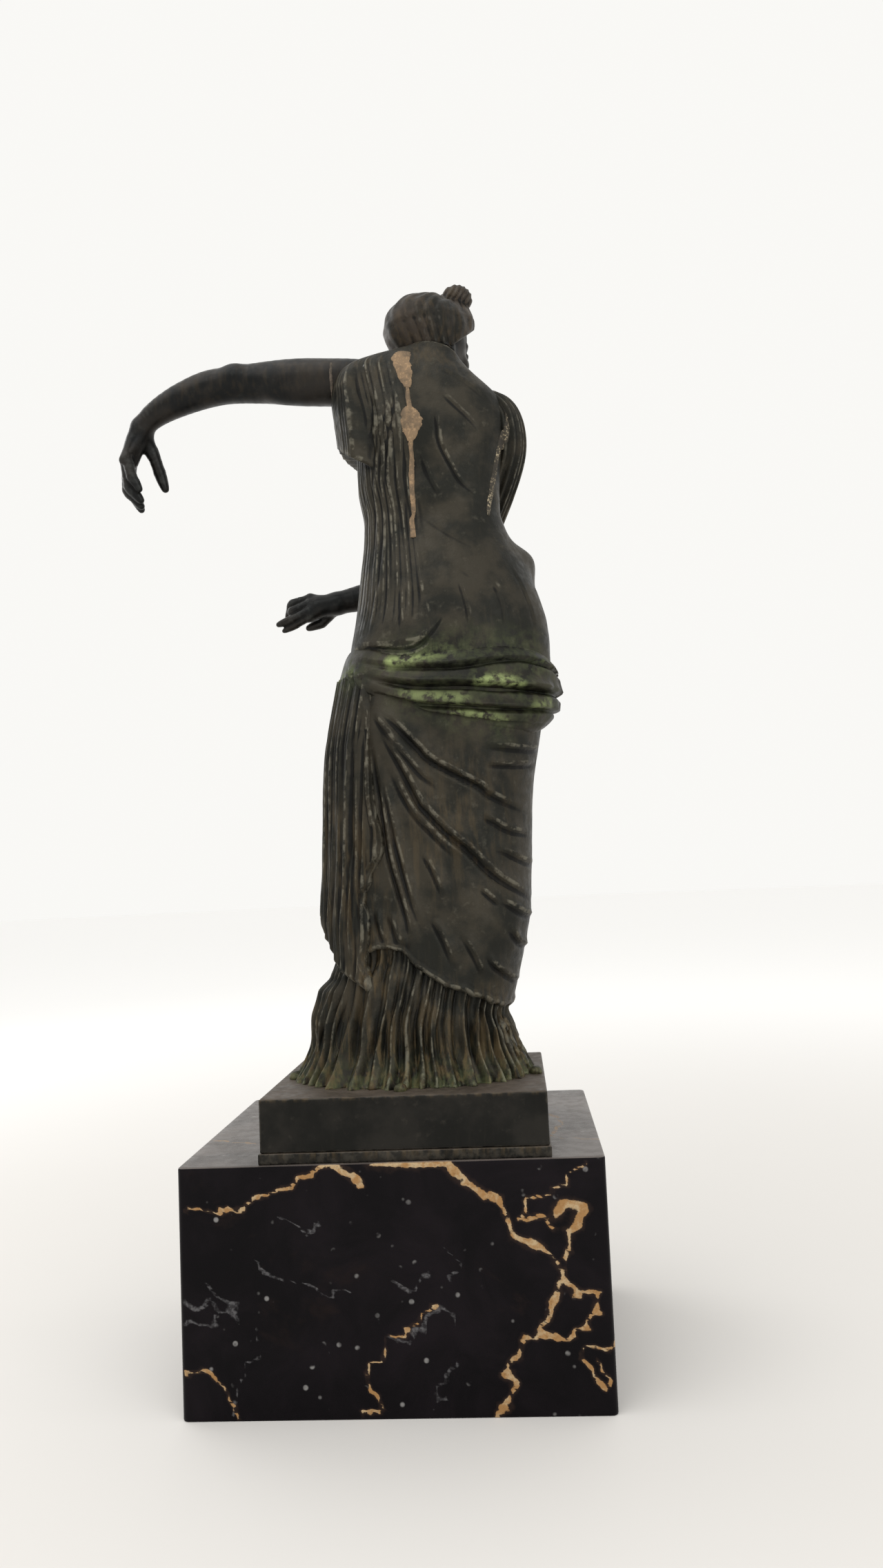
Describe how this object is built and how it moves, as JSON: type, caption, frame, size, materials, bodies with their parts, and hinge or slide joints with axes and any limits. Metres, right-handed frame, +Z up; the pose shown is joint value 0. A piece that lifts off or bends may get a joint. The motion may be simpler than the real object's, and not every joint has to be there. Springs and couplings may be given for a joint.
{
  "type": "bronze statuette",
  "caption": "Draped classical woman in dark patinated bronze, one arm stretched out and the other crossing the waist, on a bronze plinth and a veined black marble block.",
  "frame": {"origin": "centre of the underside of the marble block", "axes": "+Z up; the figure faces -Y and her outstretched left arm points along +X"},
  "size_m": [0.1222, 0.083, 0.2865],
  "materials": {
    "bronze": "dark brown to olive-black patina, worn on the ridges, with verdigris at the hips and earthy dirt in the folds",
    "plinth_bronze": "dark patinated bronze with dusty top and rubbed edges",
    "marble": "polished black marble with gold and cream veins",
    "filler": "light brown solder and seam filler, matt",
    "pin_steel": "dull, filed flush",
    "rod_steel": "plain zinc-dulled steel"
  },
  "bodies": {
    "root": {"marble_block": "marble", "foot_plate": "plinth_bronze", "plinth": "plinth_bronze", "skirt_casting": "bronze", "torso_casting": "bronze", "head": "bronze", "left_arm": "bronze", "right_arm": "bronze", "left_arm_pin": "pin_steel", "right_arm_pin": "pin_steel", "neck_solder": "filler", "left_arm_solder": "filler", "back_seam_filler": "filler", "nape_patch": "filler", "back_patch": "filler", "right_seam_filler": "filler", "hem_rivets": "bronze", "tie_rod": "rod_steel", "rod_washer": "rod_steel", "rod_nut": "rod_steel", "deck_nut": "rod_steel"}
  },
  "joints": []
}
